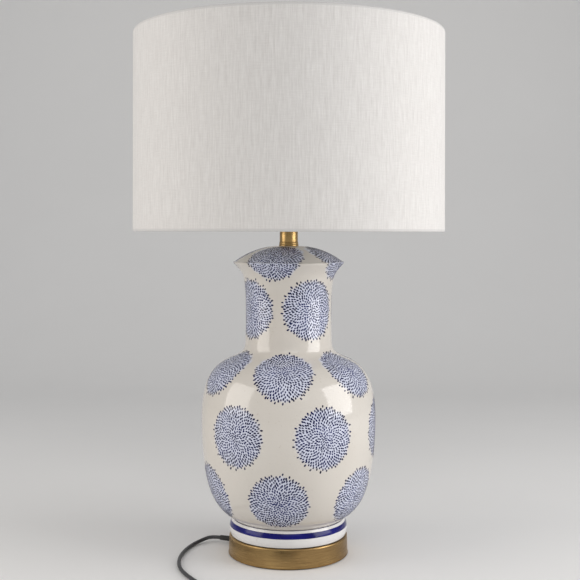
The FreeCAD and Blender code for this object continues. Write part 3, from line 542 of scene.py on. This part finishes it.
def onGlaze(reach, angle, lift=0.0):
    # point, outward way, and the ways along and round the surface; angle counts from the front to the right
    span = 0.0006
    radius = float(np.interp(reach, outlineReach, outlineRadius))
    height = float(np.interp(reach, outlineReach, outlineHeight))
    slope = float(np.interp(reach + span, outlineReach, outlineRadius)
                  - np.interp(reach - span, outlineReach, outlineRadius))
    rise = float(np.interp(reach + span, outlineReach, outlineHeight)
                 - np.interp(reach - span, outlineReach, outlineHeight))
    out = Vector((math.sin(angle), -math.cos(angle), 0))
    along = (out * slope + Vector((0, 0, rise))).normalized()
    around = Vector((math.cos(angle), math.sin(angle), 0))
    outward = around.cross(along)
    return out * radius + Vector((0, 0, height)) + outward * lift, outward, along, around


# rows of round dotted flowers: height of their middles, and each one's place round the jar in degrees
flowerRows = {
    "lipFlowers": {"height": 0.4120, "angles": [-17.6, 71.6, 161.8, 252.0]},
    "neckFlowers": {"height": 0.3414, "angles": [30.6, 120.7, 210.7, 300.6]},
    "shoulderFlowers": {"height": 0.2618, "angles": [-4.0, 56.6, 116.4, 176.2, 236.0, 296.0]},
    "bellyFlowers": {"height": 0.1788, "angles": [-35.4, 22.8, 82.2, 140.5, 198.0, 255.5]},
    "lowerFlowers": {"height": 0.0929, "angles": [-6.8, 55.7, 115.3, 174.6, 234.0, 293.0]},
}
flowerForm = {
    "radius": 0.0412,
    "roundness": (0.98, 1.01),
    "strokes": 430,
    "crowding": 0.55,
    "petals": 13,
    "petalDepth": 0.022,
    "strokeLength": (0.0032, 0.0041),
    "strokeWidth": (0.0024, 0.0028),
    "wander": 0.0005,
    "lean": 0.32,
    "lift": 0.00010,
    "sink": 0.00007,
    "sizes": (0.86, 1.14),
    "strays": 26,
    "strayChance": 0.3,
    "strayOut": 0.0016,
    "leastTurn": 0.004,
    "washSoftness": 0.0045,
    "washReach": 1.2,
    "sides": 8,
    "waist": 0.86,
    "fuller": 0.34,
    "topScale": (0.9, 0.86, 1),
    "seed": 41,
}
goldenAngle = math.pi * (3 - math.sqrt(5))


def mixOf(pair, share):
    return pair[0] + (pair[1] - pair[0]) * share


def flowerEdge(values, angle, phase):
    return values["radius"] * (1 + values["petalDepth"] * math.cos(values["petals"] * angle + phase))


def washAt(values, height, angle, radius):
    # how much blue lies in the glaze at a place of the jar
    reach = reachAtHeight(height)
    most = 0.0
    for row in flowerRows.values():
        up = reach - reachAtHeight(row["height"])
        if abs(up) > values["washReach"] * values["radius"]:
            continue
        for number, degrees in enumerate(row["angles"]):
            turn = (angle - math.radians(degrees) + math.pi) % (2 * math.pi) - math.pi
            side = turn * radius
            inside = flowerEdge(values, math.atan2(up, side), number) - math.hypot(up, side)
            most = max(most, min(1.0, max(0.0, inside / values["washSoftness"])))
    return most


def makeJar(values, seat):
    inner = []
    wall = [Vector(point) for point in wallOutline[::values["wallEvery"]]]
    floorHeight = seat + values["recess"] + values["floor"]
    for before, point, after in zip(wall, wall[1:], wall[2:]):
        way = (after - before).normalized()
        inward = point + Vector((-way.y, way.x)) * values["wall"]
        if inward.y > floorHeight:
            inner.append(tuple(inward))
    landHeight = glazedOutline[-1][1]
    roofHeight = landHeight - values["wall"]
    hole = values["holeRadius"]
    lipHeight = seat + values["lipUp"]
    outline = list(glazedOutline)
    outline += [(hole, landHeight), (hole, roofHeight), (values["landRadius"], roofHeight)]
    outline += [(values["bulgeRadius"], lipHeight + values["bulgeUp"] - values["wall"])]
    outline += inner[::-1]
    underFloor = floorHeight - values["floor"]
    outline += [(inner[0][0] - values["floorInset"], floorHeight), (hole, floorHeight), (hole, underFloor)]
    outline += [(values["recessRadius"], underFloor), (values["recessRadius"], seat)]
    shape = lathe(outline, values["steps"])
    smoothFaces(shape)
    piece = newPiece("glazedJar", shape, glaze, "lamp_base", ["jar_body"])
    wash = piece.data.attributes.new("wash", "FLOAT", "POINT")
    for vertex, slot in zip(piece.data.vertices, wash.data):
        x, y, z = vertex.co
        radius = math.hypot(x, y)
        outer = float(np.interp(z, outlineHeight, outlineRadius))
        if radius > outer - values["outsideWithin"]:
            slot.value = washAt(flowerForm, z, math.atan2(x, -y), radius)


makeJar(jarForm, jarSeat)
print("jar turned")


# painted decoration: strokes and a band of cobalt, and a thin dark line of painted shadow in the crease, all
# a little proud of the glaze
def brushStroke(values):
    # one rice-grain mark, one unit long and wide, fuller at its outer end
    shape = bmesh.new()
    bmesh.ops.create_circle(shape, cap_ends=True, segments=values["sides"], radius=0.5)
    for vertex in shape.verts:
        vertex.co.y *= values["waist"] + values["fuller"] * vertex.co.x
    made = bmesh.ops.extrude_face_region(shape, geom=shape.faces[:])
    top = [item for item in made["geom"] if isinstance(item, bmesh.types.BMVert)]
    bmesh.ops.translate(shape, verts=top, vec=(0, 0, 1))
    bmesh.ops.scale(shape, verts=top, vec=values["topScale"])
    bmesh.ops.recalc_face_normals(shape, faces=shape.faces)
    mesh = bpy.data.meshes.new("brushStroke")
    shape.to_mesh(mesh)
    shape.free()
    return mesh


def paintFlower(values, stroke, middleReach, middleAngle, phase, dice):
    shape = bmesh.new()
    thin = shape.verts.layers.float.new("thin")
    top, count = values["lift"] + values["sink"], values["strokes"]
    lipReach = reachAtHeight(jarSeat + jarForm["lipUp"] + jarForm["lipTurn"][1] * jarForm["lipRound"])
    for number in range(count):
        share = (number + 0.5) / count
        angle = number * goldenAngle + phase
        out = flowerEdge(values, angle, phase) * share ** values["crowding"]
        out += dice.uniform(-values["wander"], values["wander"])
        if number > count - values["strays"] and dice.random() < values["strayChance"]:
            out += values["strayOut"]
        angle += dice.uniform(-values["wander"], values["wander"]) / max(out, values["leastTurn"])
        reach = middleReach + out * math.sin(angle) * values["roundness"][1]
        radius = float(np.interp((reach + middleReach) / 2, outlineReach, outlineRadius))
        around = middleAngle + out * math.cos(angle) * values["roundness"][0] / radius
        size = dice.uniform(*values["sizes"])
        length = size * mixOf(values["strokeLength"], share)
        width = size * mixOf(values["strokeWidth"], share)
        lean = angle + dice.uniform(-values["lean"], values["lean"])
        halfSpan = max(length * abs(math.sin(lean)), width * abs(math.cos(lean))) / 2
        if abs(reach - lipReach) < halfSpan:
            reach = lipReach + math.copysign(halfSpan, reach - lipReach)
        point, outward, up, side = onGlaze(reach, around, -values["sink"])
        way = side * math.cos(lean) + up * math.sin(lean)
        across = outward.cross(way)
        place = Matrix((way * length, across * width, outward * top)).transposed().to_4x4()
        place.translation = point
        fresh = len(shape.verts)
        shape.from_mesh(stroke)
        shape.verts.ensure_lookup_table()
        bmesh.ops.transform(shape, matrix=place, verts=shape.verts[fresh:])
        for vertex in shape.verts[fresh:]:
            vertex[thin] = 1.0 - share
    return shape


def paintFlowers(values):
    stroke = brushStroke(values)
    dice = random.Random(values["seed"])
    for name, row in flowerRows.items():
        whole = bmesh.new()
        whole.verts.layers.float.new("thin")
        for number, degrees in enumerate(row["angles"]):
            reach = reachAtHeight(row["height"])
            one = paintFlower(values, stroke, reach, math.radians(degrees), number, dice)
            part = bpy.data.meshes.new("flower")
            one.to_mesh(part)
            one.free()
            whole.from_mesh(part)
            bpy.data.meshes.remove(part)
        for face in whole.faces:
            face.smooth = False
        newPiece(name, whole, strokeBlue, "lamp_base")
        print("painted", name)
    bpy.data.meshes.remove(stroke)


paintFlowers(flowerForm)

lineForm = {"lift": 0.00012, "sink": 0.0005, "rows": 6, "steps": 256, "waves": 90}
paintedLines = {
    "footBand": {"low": 0.0402, "high": 0.0472, "wander": 0.00022, "blue": bandBlue},
    # the thin line in the crease is painted shadow, with a painted reflection of the blue band in it
    "creaseShadowLine": {"low": 0.0504, "high": 0.0511, "wander": 0.00010, "blue": strokeBlue},
}


def paintLine(name, values):
    lift, sink, rows = lineForm["lift"], lineForm["sink"], lineForm["rows"]
    low, high = reachAtHeight(values["low"]), reachAtHeight(values["high"])
    heights = [low + (high - low) * step / rows for step in range(rows + 1)]
    shown = [onGlaze(reach, 0.0, lift)[0] for reach in heights]
    hidden = [onGlaze(reach, 0.0, -sink)[0] for reach in reversed(heights)]
    shape = lathe([(-point.y, point.z) for point in shown + hidden], lineForm["steps"])
    for vertex in shape.verts:
        edge = (vertex.co.z - values["low"]) / (values["high"] - values["low"]) - 0.5
        wave = noise.noise(Vector((vertex.co.x, vertex.co.y, edge)) * lineForm["waves"])
        vertex.co.z += values["wander"] * 2 * edge * wave
    smoothFaces(shape)
    newPiece(name, shape, values["blue"], "lamp_base")


for lineName, lineValues in paintedLines.items():
    paintLine(lineName, lineValues)
print("bands painted")


# brass base, felt and neck
mostOfSide = 0.45      # a rounding takes no more than this share of a side


def roundedCorner(before, corner, after, radius, count=5):
    before, corner, after = Vector(before), Vector(corner), Vector(after)
    reach = min(radius, mostOfSide * (before - corner).length, mostOfSide * (after - corner).length)
    start = corner + (before - corner).normalized() * reach
    end = corner + (after - corner).normalized() * reach
    made = []
    for step in range(count + 1):
        share = step / count
        made.append(tuple(start * (1 - share) ** 2 + corner * 2 * share * (1 - share) + end * share ** 2))
    return made


def roundedOutline(points, radius, count=5):
    # rounds every corner of a closed outline
    made = []
    for index, corner in enumerate(points):
        after = points[(index + 1) % len(points)]
        made += roundedCorner(points[index - 1], corner, after, radius, count)
    return made


brassForm = {
    "baseTopRadius": 0.0820, "baseRound": 0.0022, "baseWall": 0.0015, "baseLip": 0.0090,
    "footRound": 0.0005, "roundPoints": 8, "baseSteps": 192,
    "holeRadius": 0.00515, "edge": 0.00035, "edgePoints": 3,
    "tubeRadius": 0.0127, "tubeWall": 0.0010, "tubeSteps": 96,
    "collarChamfer": 0.0010, "collarFoot": 0.0016, "collarRim": 0.0005,
    "collarRecess": 0.0013, "recessRadius": 0.0104,
}


def makeBase(values):
    low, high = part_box("base_cap")
    radius, foot, top = high.x, low.z, high.z
    wall, edge, lip = values["baseWall"], values["baseRound"], radius - values["baseLip"]
    upper = values["baseTopRadius"]
    outline = [(lip, foot)]
    outline += roundedCorner((radius, top), (radius, foot), (lip, foot), values["footRound"])
    slope = 1 - math.sqrt(0.5)
    outline += [(upper, top - edge)]
    outline += arcThrough((upper, top - edge), (upper - edge * slope, top - edge * slope),
                          (upper - edge, top), values["roundPoints"])
    outline += [(values["holeRadius"], top), (values["holeRadius"], top - wall), (upper - edge, top - wall)]
    outline += [(upper - wall, top - edge - wall), (radius - wall, foot + wall), (lip, foot + wall)]
    shape = lathe(outline, values["baseSteps"])
    smoothFaces(shape)
    newPiece("turnedBase", shape, antiqueBrass, "lamp_base", ["base_cap"])


makeBase(brassForm)


feltForm = {"round": 0.0004, "roundPoints": 3, "middle": 0.0005, "steps": 128}


def makeFelt(values):
    low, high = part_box("felt_pad")
    middle = values["middle"]
    outline = [(middle, low.z), (high.x, low.z), (high.x, high.z), (middle, high.z)]
    shape = lathe(roundedOutline(outline, values["round"], values["roundPoints"]), values["steps"])
    smoothFaces(shape)
    felt = newPiece("feltPad", shape, greenFelt, "lamp_base", ["felt_pad"])


makeFelt(feltForm)


def makeNeck(values):
    tubeLow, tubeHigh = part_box("neck_tube")
    collarLow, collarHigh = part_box("neck_collar")
    ringLow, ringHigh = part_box("check_ring")
    radius, wall, edge = values["tubeRadius"], values["tubeWall"], values["edge"]
    tube = [(radius, tubeLow.z), (radius, tubeHigh.z),
            (radius - wall, tubeHigh.z), (radius - wall, tubeLow.z)]
    rim = radius + values["collarRim"]
    recess, recessTop = values["recessRadius"], collarLow.z + values["collarRecess"]
    footTop = collarLow.z + values["collarFoot"]
    hole = values["holeRadius"]
    collar = [(hole, recessTop), (recess, recessTop), (recess, collarLow.z),
              (collarHigh.x, collarLow.z), (collarHigh.x, footTop), (rim, footTop + values["collarChamfer"]),
              (rim, tubeLow.z), (hole, tubeLow.z)]
    ring = [(hole, tubeHigh.z), (ringHigh.x, tubeHigh.z), (ringHigh.x, ringHigh.z), (hole, ringHigh.z)]
    for name, outline, node in (("neckTube", tube, "neck_tube"), ("neckCollar", collar, "neck_collar"),
                                ("checkRing", ring, "check_ring")):
        shape = lathe(roundedOutline(outline, edge, values["edgePoints"]), values["tubeSteps"])
        smoothFaces(shape)
        newPiece(name, shape, tubeBrass, "lamp_base", [node])


makeNeck(brassForm)
print("brass turned")


# linen cover of the shade
shadeForm = {
    "linen": 0.0007, "roll": 0.0025, "turnOver": 0.0060, "rollPoints": 10, "steps": 224,
    "tallEdge": 0.2, "wallCuts": 24,
    "seamWidth": 0.012, "seamRamp": 0.0006, "seamLift": 0.00045,
    "backFrom": 0.15, "backWithin": 0.03,
}


def linenOutline(values, radius, low, high):
    # the wall, rolled over both rings and folded back inside
    t, roll, fold, count = values["linen"], values["roll"], values["turnOver"], values["rollPoints"]
    outline = []
    for edgeHeight, up in ((high, 1), (low, -1)):
        middle = edgeHeight - up * roll
        end = middle - up * fold
        outer = [(radius, middle)]
        outer += arcThrough(outer[0], (radius - roll, edgeHeight), (radius - 2 * roll, middle), count)
        outer += [(radius - 2 * roll, end)]
        inner = [(radius - 2 * roll + t, end), (radius - 2 * roll + t, middle)]
        inner += arcThrough(inner[-1], (radius - roll, edgeHeight - up * t), (radius - t, middle), count)
        one = outer + inner
        outline += one if up > 0 else one[::-1]
    return outline


def raiseSeam(shape, values, radius):
    # the cloth's end laps over its start at the back, and the lap stands proud of the wall
    half, ramp = values["seamWidth"] / 2, values["seamRamp"]
    for across in (-half - ramp, -half, half, half + ramp):
        items = shape.verts[:] + shape.edges[:] + shape.faces[:]
        back = [item for item in items if isAtBack(item, values)]
        bmesh.ops.bisect_plane(shape, geom=back, dist=1e-7, plane_co=(across, 0, 0), plane_no=(1, 0, 0))
    for vertex in shape.verts:
        place = vertex.co
        if place.y > 0 and abs(place.x) < half + 1e-6 and math.hypot(place.x, place.y) > radius - 1e-4:
            vertex.co.y += values["seamLift"]


def isAtBack(item, values):
    corners = [item] if isinstance(item, bmesh.types.BMVert) else item.verts
    return all(corner.co.y > values["backFrom"] and abs(corner.co.x) < values["backWithin"]
               for corner in corners)


def makeLinenShade(values):
    low, high = shadeLow, shadeHigh
    radius = high.x
    shape = lathe(linenOutline(values, radius, low.z, high.z), values["steps"])
    tall = [edge for edge in shape.edges if edge.calc_length() > values["tallEdge"]]
    bmesh.ops.subdivide_edges(shape, edges=tall, cuts=values["wallCuts"])
    raiseSeam(shape, values, radius)
    smoothFaces(shape)
    linen = newPiece("linenDrum", shape, linenCloth, "shade", ["shade_linen"])


makeLinenShade(shadeForm)
print("shade covered")


# finishes of the CAD's own pieces
finishes = {
    "base_gasket": blackRubber, "threaded_rod": zincSteel, "rod_washer": zincSteel,
    "rod_lock_washer": zincSteel, "rod_nut": zincSteel, "top_lock_nut": zincSteel,
    "dome_washer": blackRubber, "harp_saddle": wireBrass,
    "harp_wire": wireBrass, "harp_stud": wireBrass, "harp_ferrule_left": wireBrass,
    "harp_ferrule_right": wireBrass, "socket_cap": brightBrass, "socket_set_screw": brightBrass,
    "socket_shell": brightBrass, "socket_sleeve": fibreBoard, "socket_body": phenolic,
    "terminal_screws": brightBrass, "socket_leads": flexPlastic, "screw_shell": aluminium,
    "center_contact": brightBrass, "switch_shaft": brightBrass, "switch_knob": phenolic,
    "bulb_contact": zincSteel, "bulb_cap": aluminium, "bulb_glass": frostedGlass, "shade_liner": linerWhite,
    "shade_spider": whiteWire, "shade_bottom_ring": whiteWire, "finial": tubeBrass, "inner_cord": flexPlastic,
    "cord_bushing": blackRubber, "coil_tie": blackRubber, "plug_body": flexPlastic,
    "plug_blades": brightBrass,
}
for nodeName, material in finishes.items():
    mesh = nodes[nodeName].data
    mesh.materials.clear()
    mesh.materials.append(material)
print("finishes set")


# studio
studio = {
    "floorTone": (0.86, 0.855, 0.845, 1),
    "darkerShare": 0.985,
    "paperGrain": 3.0,
    "paperRoughness": 0.8,
    "level": -0.0001,
    "halfWidth": 9.0,
    "front": -9.0,
    "back": 2.6,
    "sweep": 1.2,
    "sweepSteps": 16,
    "height": 4.5,
    "lampsAim": (0, 0, 0.42),
    "worldTone": (0.93, 0.94, 0.96, 1),
    "worldLight": 0.42,
    "worldShown": 0.80,
}
lamps = {
    "rightBox": {"place": (1.55, -0.55, 0.74), "wide": 1.15, "tall": 1.25, "watts": 18.5,
                 "tone": (1, 0.98, 0.97)},
    "leftBox": {"place": (-1.55, -0.55, 0.74), "wide": 1.15, "tall": 1.25, "watts": 12,
                "tone": (1, 0.95, 0.90)},
    "frontSoft": {"place": (0.3, -2.6, 2.2), "wide": 2.2, "tall": 2.2, "watts": 12,
                  "tone": (1, 0.98, 0.95)},
}


def makeStudio(values):
    shape = bmesh.new()
    half, back, sweep, steps = values["halfWidth"], values["back"], values["sweep"], values["sweepSteps"]
    outline = [(values["front"], 0.0), (back - sweep, 0.0)]
    for step in range(1, steps + 1):
        angle = math.pi / 2 * step / steps
        outline.append((back - sweep + sweep * math.sin(angle), sweep - sweep * math.cos(angle)))
    outline.append((back, values["height"]))
    line = [shape.verts.new((-half, y, z + values["level"])) for y, z in outline]
    edges = [shape.edges.new(pair) for pair in zip(line, line[1:])]
    made = bmesh.ops.extrude_edge_only(shape, edges=edges)
    moved = [item for item in made["geom"] if isinstance(item, bmesh.types.BMVert)]
    bmesh.ops.translate(shape, verts=moved, vec=(2 * half, 0, 0))
    bmesh.ops.recalc_face_normals(shape, faces=shape.faces)
    for face in shape.faces:
        face.smooth = True
    mesh = bpy.data.meshes.new("studioFloor")
    shape.to_mesh(mesh)
    shape.free()
    tone = values["floorTone"]
    darker = tuple(x * values["darkerShare"] for x in tone[:3]) + (1,)
    paper = makeGrained("studioPaper", tone, darker, values["paperGrain"], values["paperRoughness"], 0.0)
    mesh.materials.append(paper)
    floor = bpy.data.objects.new("studioFloor", mesh)
    bpy.context.scene.collection.objects.link(floor)


def makeLamp(name, values):
    data = bpy.data.lights.new(name, "AREA")
    data.shape = "RECTANGLE"
    data.size = values["wide"]
    data.size_y = values["tall"]
    data.energy = values["watts"]
    data.color = values["tone"]
    lamp = bpy.data.objects.new(name, data)
    lamp.location = values["place"]
    way = Vector(studio["lampsAim"]) - Vector(values["place"])
    lamp.rotation_euler = way.to_track_quat("-Z", "Y").to_euler()
    bpy.context.scene.collection.objects.link(lamp)


def makeWorld(values):
    world = bpy.data.worlds.new("studioWorld")
    bpy.context.scene.world = world
    world.use_nodes = True
    sky = world.node_tree.nodes["Background"]
    sky.inputs["Color"].default_value = values["worldTone"]
    path = world.node_tree.nodes.new("ShaderNodeLightPath")
    extra = values["worldShown"] - values["worldLight"]
    shown = calculate(world, "MULTIPLY", path.outputs["Is Camera Ray"], extra)
    strength = calculate(world, "ADD", shown, values["worldLight"])
    world.node_tree.links.new(strength, sky.inputs["Strength"])


makeStudio(studio)
for lampName, lampValues in lamps.items():
    makeLamp(lampName, lampValues)
makeWorld(studio)
bpy.context.scene.view_settings.view_transform = "Standard"
print("studio lit")
